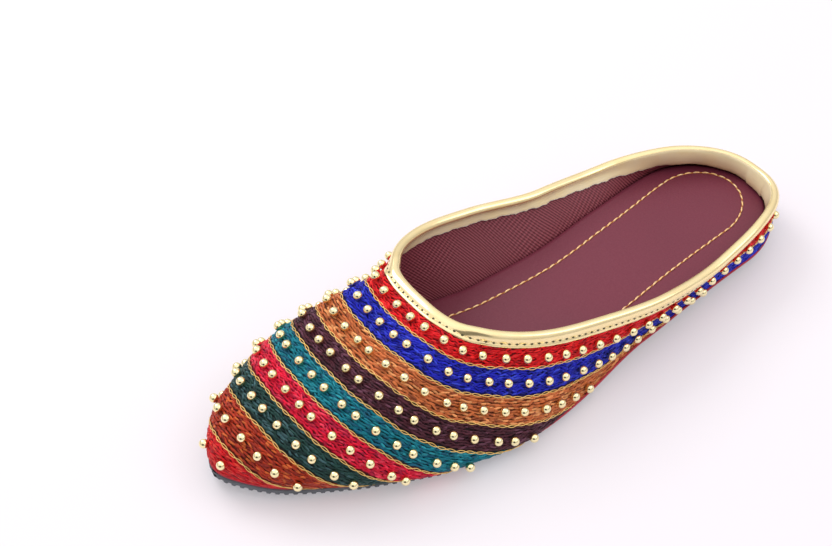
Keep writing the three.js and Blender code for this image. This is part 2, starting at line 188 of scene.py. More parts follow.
def heel_part(share):
    """How much of the heel's height is left: all at the heel, none at the ball."""
    return 1 - smooth_step((share - ARCH_START) / (ARCH_END - ARCH_START))


def underside(share):
    """Height of the sole's underside above the floor, without the heel block."""
    spring = np.maximum(share - SPRING_START, 0) / (1 - SPRING_START)
    return HEEL_LIFT * heel_part(share) + TOE_SPRING * spring * spring


def seat_height(share):
    """Height at which the insole and the foot of the upper stand."""
    return underside(share) + SOLE_THICKNESS + CLEARANCE


def insole_top(share):
    return seat_height(share) + INSOLE_THICKNESS + HEEL_WEDGE * heel_part(share)


def bed_point(phase):
    """Footbed outline: phase 0 is the heel, 0.25 the outer side, 0.5 the toe."""
    share = (1 - np.cos(TURN * phase)) / 2
    side = np.where(np.sin(TURN * phase) < 0, -1, 1)
    heel_end = np.minimum(share / HEEL_ROUND, 1)
    toe_end = np.minimum((1 - share) / TOE_ROUND, 1)
    rounding = np.sqrt(1 - (1 - heel_end) ** 2) * np.sqrt(1 - (1 - toe_end) ** 2)
    x = BALL_WIDTH * (bed_centre(share) + side * bed_half(share) * rounding)
    return np.stack([x, -BED_LENGTH * share], axis=-1)


def outline(phase, distance):
    """Footbed outline moved outward by a distance."""
    step = 1 / 720
    along = bed_point(phase + step) - bed_point(phase - step)
    along /= np.linalg.norm(along, axis=-1, keepdims=True)
    outward = np.stack([-along[..., 1], along[..., 0]], axis=-1)
    return bed_point(phase) + outward * np.asarray(distance)[..., None]


def share_of(y):
    return np.clip(-y / BED_LENGTH, 0, 1)


def collar_point(phase):
    """Collar's edge, by the same phases as the footbed's outline."""
    share = (1 - np.cos(TURN * phase)) / 2
    sine = np.sin(TURN * phase)
    fullness = HEEL_FULLNESS + (THROAT_FULLNESS - HEEL_FULLNESS) * share
    swing = np.sign(sine) * np.abs(sine) ** fullness
    x = COLLAR_WIDTH * (collar_centre(share) + swing * collar_half(share))
    z = INSTEP_HEIGHT * collar_height(share)
    y = -COLLAR_SETBACK - COLLAR_LENGTH * share
    return np.stack([x, y, z], axis=-1)


def nearest_collar_phase(points):
    """Phase of the collar point nearest to each plan point."""
    samples = 360
    loop = collar_point(np.arange(samples) / samples)[:, :2]
    gap = ((points[:, None, :] - loop[None]) ** 2).sum(axis=2)
    best = gap.argmin(axis=1)
    low = (best - 1) / samples
    high = (best + 1) / samples
    for _ in range(24):
        third = (high - low) / 3
        first = ((collar_point(low + third)[:, :2] - points) ** 2).sum(axis=1)
        second = ((collar_point(high - third)[:, :2] - points) ** 2).sum(axis=1)
        high = np.where(first < second, high - third, high)
        low = np.where(first < second, low, low + third)
    return (low + high) / 2


def unit(vectors):
    """Vectors shortened or stretched to length 1."""
    return vectors / (np.linalg.norm(vectors, axis=-1, keepdims=True) + 1e-12)


def raised(plan, height):
    """Plan points lifted to one height or to a height each."""
    return np.concatenate([plan, np.broadcast_to(height, len(plan))[:, None]], axis=1)


def travel(points):
    """Length travelled along a line at each of its points."""
    moves = np.linalg.norm(np.diff(points, axis=0), axis=1)
    return np.concatenate([[0], np.cumsum(moves)])


def bezier(ends, t):
    """Cubic curve: ends has four rows of numbers for each section, t runs along it."""
    rest = 1 - t
    weights = [rest**3, 3 * t * rest**2, 3 * t**2 * rest, t**3]
    return sum(ends[:, k, None] * weights[k][None] for k in range(4))


class Skin:
    """Outer face of the upper: sections square to the collar, from the collar down."""

    count = 960
    steps = 160

    def __init__(self):
        phase = np.arange(self.count) / self.count
        foot = outline(phase, FOOT_INSET)
        share = share_of(foot[:, 1])
        collar_phase = nearest_collar_phase(foot)
        collar = collar_point(collar_phase)
        step = 1 / 360
        along = collar_point(collar_phase + step) - collar_point(collar_phase - step)
        outward = unit(np.stack([-along[:, 1], along[:, 0]], axis=1))
        reach = ((foot - collar[:, :2]) * outward).sum(axis=1)
        base = seat_height(share)
        top = collar[:, 2]
        reaches = np.stack([
            reach,
            reach + BALL_WIDTH * section_out(share),
            BALL_WIDTH * section_run(share),
            np.zeros(self.count),
        ], axis=1)
        heights = np.stack([
            base,
            base + INSTEP_HEIGHT * section_rise(share),
            top - INSTEP_HEIGHT * section_drop(share),
            top,
        ], axis=1)
        t = np.linspace(1, 0, 400)
        r = bezier(reaches, t)
        z = bezier(heights, t)
        move = np.hypot(np.diff(r, axis=1), np.diff(z, axis=1))
        travelled = np.concatenate([np.zeros((self.count, 1)), np.cumsum(move, axis=1)], 1)
        self.length = travelled[:, -1]
        even = np.linspace(0, 1, self.steps + 1)
        wanted = even * self.length[:, None]
        r, z = (np.array(list(map(np.interp, wanted, travelled, values))) for values in (r, z))
        plan = collar[:, None, :2] + outward[:, None, :] * r[:, :, None]
        self.grid = np.concatenate([plan, z[:, :, None]], axis=2)
        down = np.gradient(self.grid, axis=1)
        around = np.roll(self.grid, -1, axis=0) - np.roll(self.grid, 1, axis=0)
        normal = unit(np.cross(around, down))
        facing = (normal[:, :1, :2] * outward[:, None, :]).sum(axis=(1, 2)) + normal[:, 0, 2]
        self.normal = normal * np.sign(np.median(facing))
        self.base = base

    def look(self, table, phase, distance):
        spot = (phase % 1) * self.count
        first = np.floor(spot).astype(int) % self.count
        part = (spot - np.floor(spot))[..., None]
        total = 0
        for row, weight in ((first, 1 - part), ((first + 1) % self.count, part)):
            place = np.clip(distance / self.length[row], 0, 1) * self.steps
            j = np.clip(place.astype(int), 0, self.steps - 1)
            g = (place - j)[..., None]
            total = total + weight * (table[row, j] * (1 - g) + table[row, j + 1] * g)
        return total

    def point(self, phase, distance, depth=0.0):
        """Place at a distance along the leather from the collar and a height over it."""
        phase, distance = np.broadcast_arrays(phase, distance)
        at = self.look(self.grid, phase, distance)
        return at + unit(self.look(self.normal, phase, distance)) * np.asarray(depth)[..., None]

    def section_length(self, phase):
        phases = np.arange(self.count + 1) / self.count
        return np.interp(phase % 1, phases, np.append(self.length, self.length[0]))

    def runs(self, distance, margin, samples=1920):
        """Stretches of one line parallel to the collar, as phases and length travelled."""
        phase = np.arange(samples) / samples
        inside = self.section_length(phase) > distance + margin
        breaks = np.flatnonzero(np.diff(inside.astype(int))) + 1
        found = []
        for stretch in np.split(np.arange(samples), breaks):
            if not inside[stretch[0]] or len(stretch) < 4:
                continue
            points = self.point(phase[stretch], float(distance))
            found.append((phase[stretch], travel(points)))
        return found

    def toe_run(self, distance, margin, samples):
        """The stretch that passes the toe."""
        for phase, travelled in self.runs(distance, margin, samples):
            if phase[0] < 0.5 < phase[-1]:
                return phase, travelled
        raise ValueError(f"no line at {distance} mm from the collar")

    def frames(self, phase, distance, depth):
        """Place, along, across and normal directions for pieces sewn to the face."""
        step = 0.0008
        centre = self.point(phase, distance, depth)
        along = unit(self.point(phase + step, distance) - self.point(phase - step, distance))
        normal = unit(self.look(self.normal, phase, distance))
        across = unit(np.cross(normal, along))
        return centre, along, across, normal


skin = Skin()


def place_in_frame():
    """Move from the last's own origin to the frame's, by the upper that both hold."""
    low, high = (np.array(corner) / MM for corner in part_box("upper"))
    centre = (low + high) / 2
    plan = skin.grid[..., :2].reshape(-1, 2)
    middle = (plan.min(axis=0) + plan.max(axis=0)) / 2
    return np.array([centre[0] - middle[0], centre[1] - middle[1], 0])


SHIFT = place_in_frame()


# Meshes
def make_mesh(name, points, faces, materials, tint=None, cloth=None, slots=None, smooth=True):
    """Mesh object from points in millimetres; faces is a list of arrays of equal-sided faces."""
    mesh = bpy.data.meshes.new(name)
    points = (points + SHIFT) * MM
    sizes = np.concatenate([np.full(len(block), block.shape[1]) for block in faces])
    corners = np.concatenate([block.ravel() for block in faces])
    mesh.vertices.add(len(points))
    mesh.vertices.foreach_set("co", points.astype(np.float32).ravel())
    mesh.loops.add(len(corners))
    mesh.loops.foreach_set("vertex_index", corners.astype(np.int32))
    mesh.polygons.add(len(sizes))
    starts = np.concatenate([[0], np.cumsum(sizes)[:-1]])
    mesh.polygons.foreach_set("loop_start", starts.astype(np.int32))
    mesh.polygons.foreach_set("loop_total", sizes.astype(np.int32))
    if slots is not None:
        mesh.polygons.foreach_set("material_index", slots.astype(np.int32))
    mesh.update(calc_edges=True)
    mesh.validate()
    if smooth:
        mesh.shade_smooth()
    if tint is not None:
        layer = mesh.color_attributes.new("tint", "FLOAT_COLOR", "POINT")
        rgba = np.concatenate([tint, np.ones((len(tint), 1))], axis=1)
        layer.data.foreach_set("color", rgba.astype(np.float32).ravel())
    if cloth is not None:
        layer = mesh.uv_layers.new(name="cloth")
        layer.data.foreach_set("uv", cloth[corners].astype(np.float32).ravel())
    piece = bpy.data.objects.new(name, mesh)
    bpy.context.scene.collection.objects.link(piece)
    for material in materials:
        mesh.materials.append(material)
    return piece


def grid_faces(rows, columns, close_rows=False, close_columns=False):
    """Four-sided faces over a grid of points stored row by row."""
    i = np.arange(rows if close_rows else rows - 1)
    j = np.arange(columns if close_columns else columns - 1)
    i, j = np.meshgrid(i, j, indexing="ij")
    i, j = i.ravel(), j.ravel()
    next_i = (i + 1) % rows
    next_j = (j + 1) % columns
    return np.stack([
        i * columns + j, next_i * columns + j, next_i * columns + next_j, i * columns + next_j,
    ], axis=1)


def scatter(template, faces, frames, scale=None, turn=None):
    """Copies of a small template mesh, set in frames on the face."""
    centre, along, across, normal = frames
    count = len(centre)
    local = np.repeat(template[None], count, axis=0)
    if scale is not None:
        local = local * scale[:, None, :]
    if turn is not None:
        cos, sin = np.cos(turn)[:, None], np.sin(turn)[:, None]
        local = np.stack([
            local[..., 0] * cos - local[..., 1] * sin,
            local[..., 0] * sin + local[..., 1] * cos,
            local[..., 2],
        ], axis=-1)
    points = (
        centre[:, None]
        + local[..., 0:1] * along[:, None]
        + local[..., 1:2] * across[:, None]
        + local[..., 2:3] * normal[:, None]
    ).reshape(-1, 3)
    offset = (np.arange(count) * len(template))[:, None, None]
    return points, [(block[None] + offset).reshape(-1, block.shape[1]) for block in faces]


def tube_rings(centres, side, lift, radii, angle):
    """Points of the rings round a line; side and lift are directions square to it."""
    reach = np.broadcast_to(radii, len(centres))[:, None, None]
    around = np.cos(angle)[:, None] * side[:, None] + np.sin(angle)[:, None] * lift[:, None]
    return (centres[:, None] + reach * around).reshape(-1, 3)


def tube_template(centres, radii, sides):
    """Tube through points in a template's own axes, closed by a flat face at each end."""
    angle = TURN * (np.arange(sides) + 0.5) / sides
    direction = unit(np.gradient(centres, axis=0))
    side = unit(np.cross(direction, UP))
    points = tube_rings(centres, side, np.cross(side, direction), radii, angle)
    faces = grid_faces(len(centres), sides, close_columns=True)
    last = (len(centres) - 1) * sides
    caps = np.array([np.arange(sides), last + np.arange(sides)[::-1]])
    return points, [faces, caps]


# Materials; relief depths are in metres, as the shader wants them
FINE_RELIEF = 0.0002
COARSE_RELIEF = 0.0003
LINING_RIB_PITCH = 1.1
LINING_DOT_PITCH = 1.7


class Tree:
    """Node tree of a material or world, with short ways to add nodes to it."""

    def __init__(self, owner):
        owner.use_nodes = True
        self.nodes = owner.node_tree.nodes
        self.links = owner.node_tree.links

    def give(self, socket, value):
        """Set a socket to a constant, or join another node's output to it."""
        if isinstance(value, bpy.types.NodeSocket):
            self.links.new(value, socket)
        else:
            socket.default_value = value

    def noise(self, scale, detail):
        node = self.nodes.new("ShaderNodeTexNoise")
        place = self.nodes.new("ShaderNodeTexCoord").outputs["Object"]
        for name, value in (("Vector", place), ("Scale", scale), ("Detail", detail)):
            self.give(node.inputs[name], value)
        return node.outputs["Fac"]

    def mix(self, factor, first, second):
        node = self.nodes.new("ShaderNodeMix")
        node.data_type = "RGBA"
        node.clamp_result = False
        for index, value in ((0, factor), (6, first), (7, second)):
            self.give(node.inputs[index], value)
        return node.outputs[2]

    def ramp(self, source, low, high, first=0.0, second=1.0):
        node = self.nodes.new("ShaderNodeMapRange")
        names = ("Value", "From Min", "From Max", "To Min", "To Max")
        for name, value in zip(names, (source, low, high, first, second)):
            self.give(node.inputs[name], value)
        return node.outputs["Result"]

    def calculate(self, operation, *values):
        node = self.nodes.new("ShaderNodeMath")
        node.operation = operation
        for socket, value in zip(node.inputs, values):
            self.give(socket, value)
        return node.outputs[0]


class Finish(Tree):
    """Material with one main shader."""

    def __init__(self, name, **constants):
        self.material = bpy.data.materials.new(name)
        super().__init__(self.material)
        self.shader = self.nodes["Principled BSDF"]
        for socket, value in constants.items():
            self.shader.inputs[socket.replace("_", " ")].default_value = value

    def link(self, name, output):
        self.links.new(output, self.shader.inputs[name])

    def bump(self, height, strength, distance=FINE_RELIEF):
        node = self.nodes.new("ShaderNodeBump")
        node.inputs["Strength"].default_value = strength
        node.inputs["Distance"].default_value = distance
        self.links.new(height, node.inputs["Height"])
        self.link("Normal", node.outputs["Normal"])


def colour(red, green, blue):
    """Linear colour from display values between 0 and 255."""
    def linear(value):
        value /= 255
        return value / 12.92 if value <= 0.04045 else ((value + 0.055) / 1.055) ** 2.4
    return (linear(red), linear(green), linear(blue), 1.0)


def dyed_material(name, scale, spread, shades, roughness, specular, bump, relief):
    """Cloth or thread: the piece brings its colour, painted shade and highlight included, the
    material its fine fibres.
    """
    finish = Finish(name, Roughness=roughness, Specular_IOR_Level=specular)
    tint = finish.nodes.new("ShaderNodeAttribute")
    tint.attribute_name = "tint"
    fibre = finish.noise(scale, 2.0)
    shaded = finish.nodes.new("ShaderNodeVectorMath")
    shaded.operation = "SCALE"
    finish.give(shaded.inputs[0], tint.outputs["Color"])
    finish.give(shaded.inputs["Scale"], finish.ramp(fibre, *spread, *shades))
    finish.link("Base Color", shaded.outputs[0])
    finish.bump(fibre, bump, relief)
    return finish.material


def gold_material(name, light, dark, roughness, scale, bump, metallic):
    """Bright gold: fine unevenness in colour and gloss."""
    finish = Finish(name, Metallic=metallic)
    grain = finish.noise(scale, 3.0)
    finish.link("Base Color", finish.mix(grain, colour(*dark), colour(*light)))
    finish.link("Roughness", finish.ramp(grain, 0.3, 0.7, roughness * 0.8, roughness * 1.25))
    finish.bump(grain, bump, COARSE_RELIEF)
    return finish.material


def plain_material(name, tone, roughness, scale=400.0):
    """One tone with a slight unevenness."""
    finish = Finish(name, Roughness=roughness)
    grain = finish.noise(scale, 3.0)
    light = colour(*tone)
    dark = tuple(0.8 * value for value in light[:3]) + (1.0,)
    finish.link("Base Color", finish.mix(grain, dark, light))
    finish.bump(grain, 0.2)
    return finish.material


def lining_material():
    """Maroon ribbed lining: slanting ribs that break up into dots."""
    finish = Finish("lining_cloth", Roughness=0.55)
    source = finish.nodes.new("ShaderNodeUVMap")
    source.uv_map = "cloth"
    split = finish.nodes.new("ShaderNodeSeparateXYZ")
    finish.links.new(source.outputs["UV"], split.inputs["Vector"])

    def waves(across, along, pitch):
        u = finish.calculate("MULTIPLY", split.outputs["X"], across)
        v = finish.calculate("MULTIPLY", split.outputs["Y"], along)
        slanted = finish.calculate("ADD", u, v)
        return finish.calculate("SINE", finish.calculate("MULTIPLY", slanted, TURN / pitch))

    ribs = waves(0.79, -0.62, LINING_RIB_PITCH)
    cross = waves(0.62, 0.79, LINING_DOT_PITCH)
    patch = finish.ramp(finish.noise(45.0, 1.0), 0.4, 0.62, 0.0, 0.7)
    weave = finish.calculate("ADD", ribs, finish.calculate("MULTIPLY", cross, patch))
    dots = finish.ramp(weave, -1.0, 1.4)
    finish.link("Base Color", finish.mix(dots, colour(98, 26, 40), colour(160, 80, 92)))
    finish.bump(dots, 0.6, COARSE_RELIEF)
    return finish.material


def insole_material():
    """Smooth maroon imitation leather with a faint grain and soft lighter and darker patches."""
    finish = Finish("insole_leather", Specular_IOR_Level=0.35)
    cloud = finish.noise(28.0, 4.0)
    grain = finish.noise(1500.0, 3.0)
    base = finish.mix(cloud, colour(104, 36, 54), colour(118, 47, 65))
    fleck = finish.ramp(grain, 0.35, 0.7, 0.0, 0.16)
    finish.link("Base Color", finish.mix(fleck, base, colour(142, 74, 88)))
    finish.link("Roughness", finish.ramp(cloud, 0.3, 0.7, 0.42, 0.58))
    finish.bump(grain, 0.25)
    return finish.material


def rubber_material():
    """Dark grey moulded rubber with a fine dusty tooth."""
    finish = Finish("sole_rubber", Roughness=0.75)
    cloud = finish.noise(90.0, 4.0)
    finish.link("Base Color", finish.mix(cloud, colour(80, 84, 90), colour(112, 117, 123)))
    finish.bump(finish.noise(1400.0, 2.0), 0.4)
    return finish.material


THREAD = dyed_material(
    "silk_thread", scale=2600.0, spread=(0.25, 0.75), shades=(0.84, 1.14),
    roughness=0.55, specular=0.28, bump=0.3, relief=FINE_RELIEF,
)
GROUND = dyed_material(
    "ground_cloth", scale=1800.0, spread=(0.3, 0.7), shades=(0.5, 1.1),
    roughness=0.9, specular=0.5, bump=0.6, relief=COARSE_RELIEF,
)

# Gold finishes: light and dark tone, roughness, size of the grain, bump and metallic
GOLDS = [
    ("gold_chain", (255, 234, 158), (246, 176, 72), 0.34, 420.0, 0.3, 0.5),
    ("gold_bead", (255, 246, 204), (253, 234, 172), 0.12, 300.0, 0.05, 1.0),
    ("gold_foil", (255, 238, 190), (252, 224, 160), 0.16, 160.0, 0.1, 0.72),
    # foil_inside_painted_light is the collar foil again, lighter and nearly matte: painted light for
    # the inner flange, which lies in shade
    ("foil_inside_painted_light", (255, 244, 212), (255, 230, 172), 0.2, 120.0, 0.2, 0.12),
    ("seam_thread", (255, 236, 190), (246, 168, 70), 0.3, 500.0, 0.3, 0.35),
    ("seam_cord", (214, 140, 66), (160, 92, 44), 0.45, 500.0, 0.3, 0.3),
]
ZARI, BEAD, FOIL, FOLD_PAINTED_LIGHT, SEAM, SEAM_CORD = (gold_material(*row) for row in GOLDS)
LINING = lining_material()
INSOLE = insole_material()
RUBBER = rubber_material()
FOOT_CORD = plain_material("foot_cord", (188, 40, 62), 0.6, 900.0)
# White cut edge of the foil; along the outer flange's edge the same white also serves as a painted
# highlight
RAW_EDGE_AND_HIGHLIGHT = plain_material("raw_edge_and_painted_highlight", (252, 248, 238), 0.7)
# Stitch holes are raised dark pieces: painted shade in place of the hollow of each hole
HOLE_PAINTED_SHADE = plain_material("stitch_hole_painted_shade", (84, 80, 56), 0.8)

# Bands from the collar to the toe: the main thread, a darker copy of it as painted shade and a
# lighter copy as painted highlight, then how the stitches lie: row pitch, stitch length and slant
BANDS = [
    ("red", (224, 14, 26), (140, 2, 20), (246, 52, 50), 0.9, 2.7, 0.28),
    ("blue", (26, 34, 186), (18, 18, 92), (62, 82, 226), 0.9, 2.7, 0.3),
    ("copper", (202, 110, 60), (120, 52, 34), (250, 176, 112), 1.1, 3.2, 0.16),
    ("aubergine", (78, 32, 46), (44, 18, 32), (116, 70, 92), 1.0, 2.9, 0.2),
    ("teal", (4, 116, 134), (16, 66, 104), (44, 156, 172), 1.0, 2.8, 0.22),
    ("crimson", (218, 10, 54), (140, 14, 60), (244, 70, 98), 1.0, 2.9, 0.2),
    ("green", (30, 66, 62), (14, 34, 40), (76, 112, 120), 1.0, 2.9, 0.2),
    ("rust", (176, 52, 24), (112, 22, 22), (226, 118, 54), 1.1, 3.1, 0.18),
    ("scarlet", (212, 18, 28), (150, 8, 24), (238, 80, 58), 1.0, 2.8, 0.22),
]
# Ground under the embroidery: each band's thread colour darkened, painted shade for the gaps between
# strands
GROUND_PAINTED_SHADE = 0.28
BAND_ENDS = OUTER_FLANGE + BAND_WIDTH * np.cumsum([0] + [width for width, _ in BAND_TABLE])

# One strand of embroidery, in millimetres for a strand one millimetre long
STRAND_TIP = 0.18
STRAND_BELLY = 0.29
STRAND_ARCH = 0.3
STRAND_DIP = 0.06
STRAND_FLATNESS = 0.72

# How strands fill a band: where the lines start and end, how far they go before the sole
BAND_HEAD_MARGIN = 0.75
BAND_TAIL_MARGIN = 0.45
SOLE_MARGIN = 0.4
LINE_END = 0.5
STRAND_ADVANCE = 0.55
STRAND_SINK = (0.0, 0.3)
LINE_WANDER = 0.14
SLANT_WANDER = 0.12
FORWARD_SHARE = 0.72

# Ranges of one strand's length, width and height as shares, and of its tone
LENGTH_RANGE = (0.75, 1.3)
WIDTH_RANGE = (0.8, 1.35)
HEIGHT_RANGE = (0.8, 1.25)
TONE_RANGE = (0.82, 1.25)
# Shares of strands in the main tone and in the darker painted-shade copy; the rest take the lighter
# painted-highlight copy
MAIN_TONE_SHARE = 0.58
PAINTED_SHADE_SHARE = 0.22
TONE_STRENGTH = 0.6


def dress(piece, node=None):
    """Let a piece ride with the shoe and replace a solid."""
    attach(piece, "root")
    if node:
        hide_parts(node)


# Upper: ground cloth outside, lining inside, joined at collar and foot
def make_upper():
    rows, outer, inner = 480, 110, 60
    phase = np.arange(rows) / rows
    length = skin.section_length(phase)
    outer_run = np.linspace(0, 1, outer)[None] * length[:, None]
    inner_run = np.linspace(0, 1, inner)[None, :-1] * length[:, None]
    outside = skin.point(phase[:, None], outer_run)
    inside = skin.point(phase[:, None], inner_run, -WALL)
    base = np.interp(phase, np.arange(skin.count) / skin.count, skin.base)
    inside[:, :, 2] = np.maximum(inside[:, :, 2], base[:, None])
    foot = raised(outline(phase, CLEARANCE), base)
    rings = np.concatenate([outside, foot[:, None], inside[:, ::-1]], axis=1)
    columns = rings.shape[1]
    faces = grid_faces(rows, columns, close_rows=True, close_columns=True)
    slots = np.where(faces[:, 0] % columns < outer, 0, 1)
    row = np.clip(np.searchsorted(BAND_ENDS, outer_run) - 1, 0, len(BANDS) - 1)
    # Ground tint is the band's thread colour darkened: painted shade seen in the gaps between strands
    shades = np.array([colour(*band[1])[:3] for band in BANDS]) * GROUND_PAINTED_SHADE
    tint = np.zeros(rings.shape)
    tint[:, :outer] = shades[row]
    cloth = np.zeros(rings.shape[:2] + (2,))
    cloth[..., 0] = travel(outside[:, 0])[:, None]
    cloth[:, outer + 1:, 1] = inner_run[:, ::-1]
    piece = make_mesh(
        "upper_cloth", rings.reshape(-1, 3), [faces], [GROUND, LINING],
        tint=tint.reshape(-1, 3), cloth=cloth.reshape(-1, 2), slots=slots,
    )
    dress(piece, "upper")


def strand_template():
    """One plump strand, a millimetre long, that dips into the cloth at both ends."""
    t = np.linspace(0, 1, 5)
    swell = np.sin(math.pi * t)
    centres = np.stack([t - 0.5, 0 * t, STRAND_ARCH * swell - STRAND_DIP], axis=1)
    points, faces = tube_template(centres, STRAND_TIP + STRAND_BELLY * swell, 4)
    return points * [1, 1, STRAND_FLATNESS], faces


def make_embroidery(row):
    """Overlapping slanted strands that fill one band."""
    name, main, dark, light, row_pitch, stitch_length, slant = BANDS[row]
    start, end = BAND_ENDS[row], BAND_ENDS[row + 1]
    if row == len(BANDS) - 1:
        end = start + 2 * BAND_WIDTH
    template, faces = strand_template()
    phases, distances = [], []
    lines = np.arange(start + BAND_HEAD_MARGIN, end - BAND_TAIL_MARGIN, row_pitch)
    for line, distance in enumerate(lines):
        for phase, travelled in skin.runs(distance, SOLE_MARGIN):
            step = stitch_length * STRAND_ADVANCE
            count = int(travelled[-1] / step)
            places = (np.arange(count) + 0.5 * (line % 2)) * step + rng.uniform(0, 0.5 * step, count)
            places = places[places < travelled[-1] - LINE_END]
            phases.append(np.interp(places, travelled, phase))
            distances.append(distance + rng.normal(0, LINE_WANDER, len(places)))
    phase = np.concatenate(phases)
    distance = np.concatenate(distances)
    count = len(phase)
    frames = skin.frames(phase, distance, rng.uniform(*STRAND_SINK, count))
    scale = np.stack([
        stitch_length * rng.uniform(*LENGTH_RANGE, count),
        rng.uniform(*WIDTH_RANGE, count) * row_pitch,
        rng.uniform(*HEIGHT_RANGE, count),
    ], axis=1)
    side = np.where(rng.uniform(size=count) < FORWARD_SHARE, 1.0, -1.0)
    turn = side * slant + rng.normal(0, SLANT_WANDER, count)
    points, blocks = scatter(template, faces, frames, scale, turn)
    # Strands take at random the main tone, the darker copy as painted shade and the lighter copy as
    # painted highlight
    choice = rng.uniform(size=count)[:, None]
    main, dark, light = (np.array(colour(*tone)[:3]) for tone in (main, dark, light))
    tone = np.where(choice < MAIN_TONE_SHARE + PAINTED_SHADE_SHARE, dark, light)
    tone = np.where(choice < MAIN_TONE_SHARE, main, tone)
    tone = TONE_STRENGTH * tone + (1 - TONE_STRENGTH) * main
    tone = tone * rng.uniform(*TONE_RANGE, count)[:, None]
    tint = np.repeat(tone, len(template), axis=0)
    dress(make_mesh(f"embroidery_{name}_{row + 1}", points, blocks, [THREAD], tint=tint))


def sweep(lines, radius, sides):
    """Round tubes along polylines that are given as points with their normals."""
    points, faces, offset = [], [], 0
    angle = TURN * np.arange(sides) / sides
    for centre, normal in lines:
        direction = unit(np.gradient(centre, axis=0))
        across = unit(np.cross(normal, direction))
        points.append(tube_rings(centre, across, np.cross(direction, across), radius, angle))
        faces.append(grid_faces(len(centre), sides, close_columns=True) + offset)
        offset += len(centre) * sides
    return np.concatenate(points), [np.concatenate(faces)]


# Gold chain lines; the last table holds slow waves: pace, swing and step for each row
CHAIN_PITCH = 3.8
CHAIN_SWING = 0.42
CHAIN_RADIUS = 0.15
CHAIN_HEIGHT = 0.62
CHAIN_CROSSING = 0.1
POINTS_PER_LINK = 8
CHAIN_WAVES = [(0.31, 0.16, 1), (0.83, 0.1, 2)]


def make_gold_chain(row):
    """Line of gold chain stitch between two bands: two strands that cross at each link."""
    lines = []
    for phase, travelled in skin.runs(BAND_ENDS[row], SOLE_MARGIN):
        places = np.arange(LINE_END, travelled[-1] - LINE_END, CHAIN_PITCH / POINTS_PER_LINK)
        if len(places) < 2 * POINTS_PER_LINK:
            continue
        at = np.interp(places, travelled, phase)
        turn = math.pi * places / CHAIN_PITCH
        wander = sum(swing * np.sin(pace * places + step * row) for pace, swing, step in CHAIN_WAVES)
        for side in (-1, 1):
            distance = BAND_ENDS[row] + side * CHAIN_SWING * np.sin(turn) + wander
            height = CHAIN_HEIGHT + side * CHAIN_CROSSING * np.cos(turn)
            centre = skin.point(at, distance, height)
            lines.append((centre, unit(skin.look(skin.normal, at, distance))))
    points, faces = sweep(lines, CHAIN_RADIUS, 6)
    dress(make_mesh(f"gold_chain_{row}", points, faces, [ZARI]))


def bead_places(row):
    """Phases of the beads in one row, at the middle of its band."""
    distance = (BAND_ENDS[row] + BAND_ENDS[row + 1]) / 2
    margin = BAND_WIDTH * BAND_TABLE[row][1]
    phase, travelled = skin.toe_run(distance, margin, 240)
    whole = travelled[-1]
    count = max(int(whole // BEAD_PITCH), 2)
    bead = np.arange(count)
    drift = np.mean([np.sin(pace * bead + step * row) for pace, step in DRIFT_WAVES], axis=0)
    places = (bead + 0.5) * whole / count + BEAD_DRIFT * drift
    places = np.clip(places, BEAD_RADIUS, whole - BEAD_RADIUS)
    return np.interp(places, travelled, phase), distance


def sphere_template(radius, rings, segments):
    theta = np.linspace(0, math.pi, rings + 1)[1:-1]
    angle = TURN * np.arange(segments) / segments
    band = np.stack([
        np.sin(theta)[:, None] * np.cos(angle)[None],
        np.sin(theta)[:, None] * np.sin(angle)[None],
        np.repeat(np.cos(theta)[:, None], segments, axis=1),
    ], axis=-1).reshape(-1, 3)
    points = np.concatenate([band, [[0, 0, 1], [0, 0, -1]]]) * radius
    quads = grid_faces(rings - 1, segments, close_columns=True)
    top, bottom = len(band), len(band) + 1
    last = (rings - 2) * segments
    k = np.arange(segments)
    after = (k + 1) % segments
    caps = np.concatenate([
        np.stack([k, after, np.full(segments, top)], axis=1),
        np.stack([last + after, last + k, np.full(segments, bottom)], axis=1),
    ])
    return points, [quads, caps]


def make_beads(row):
    phase, distance = bead_places(row)
    template, faces = sphere_template(BEAD_RADIUS, 14, 20)
    frames = skin.frames(phase, distance, BEAD_RADIUS + BEAD_LIFT)
    points, blocks = scatter(template, faces, frames)
    dress(make_mesh(f"beads_{row + 1}", points, blocks, [BEAD]), f"bead_row_{row + 1}")


# Binding: foil folded over the collar, a plump roll on top and a stitched flange outside.
# Profile rows go down the outside and up the inside: distance from the collar and height
# over the leather
GROOVE_PLACE = 2.45
OUTER_PROFILE = [
    (OUTER_FLANGE - 0.2, 0.3), (OUTER_FLANGE + 0.1, 0.35), (OUTER_FLANGE + 0.2, 0.6),
    (OUTER_FLANGE + 0.05, 0.8), (3.3, 0.84), (2.8, 0.74), (GROOVE_PLACE, 0.6),
    (2.1, 0.78), (1.6, 1.02), (0.9, 1.14), (0.3, 1.16),
]
INNER_PROFILE = [
    (0.5, 0.95), (1.6, 0.86), (3.2, 0.78), (INNER_FLANGE - 1.2, 0.74),
    (INNER_FLANGE - 0.3, 0.72), (INNER_FLANGE, 0.6), (INNER_FLANGE, 0.3),
]
ROLL_ANGLES = (70, 50, 30, 10, -10, -30, -50, -70)
ROLL_RADIUS = WALL / 2 + 0.95
ROLL_WIDTH = 1.12
BINDING_BACK = 0.3

# Uneven edge and ripples of the foil: waves round the collar, share and start
EDGE_FRAY = 0.35
FRAY_WAVES = [(37, 0.6, 0.0), (91, 0.4, 1.3)]
FOLD_RIPPLE = 0.3

# Where the strip's end laps over its start, as phases round the collar
LAP_START = 0.014
LAP_END = 0.044
LAP_HEIGHT = 0.55

